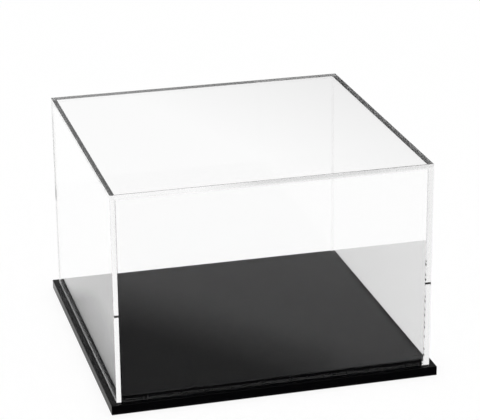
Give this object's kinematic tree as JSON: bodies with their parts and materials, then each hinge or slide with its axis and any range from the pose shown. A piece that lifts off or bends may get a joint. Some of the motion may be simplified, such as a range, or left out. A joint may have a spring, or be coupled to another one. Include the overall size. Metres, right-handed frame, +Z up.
{
  "type": "display case",
  "caption": "Clear box display case: a lift-off cover of cemented clear sheet drops over the raised deck of a gloss black stand that rests on thin rubber pads.",
  "frame": {"origin": "middle of the underside, on the surface that the rubber pads stand on", "axes": "+X to the right along the front, +Y to the back, +Z up, the way the cover lifts"},
  "size_m": [0.3116, 0.3116, 0.2101],
  "materials": {
    "clear_acrylic": "polished",
    "black_acrylic": "polished",
    "black_rubber": "matte"
  },
  "bodies": {
    "stand": {"base_plate": "black_acrylic", "riser_deck": "black_acrylic", "foot_pad_front_left": "black_rubber", "foot_pad_front_right": "black_rubber", "foot_pad_back_left": "black_rubber", "foot_pad_back_right": "black_rubber"},
    "cover": {"top_panel": "clear_acrylic", "left_panel": "clear_acrylic", "right_panel": "clear_acrylic", "front_panel": "clear_acrylic", "back_panel": "clear_acrylic"}
  },
  "joints": [
    {"name": "cover_lift", "type": "slide", "parent": "stand", "child": "cover", "axis": [0, 0, 1], "range_m": [0, 0.22]}
  ]
}
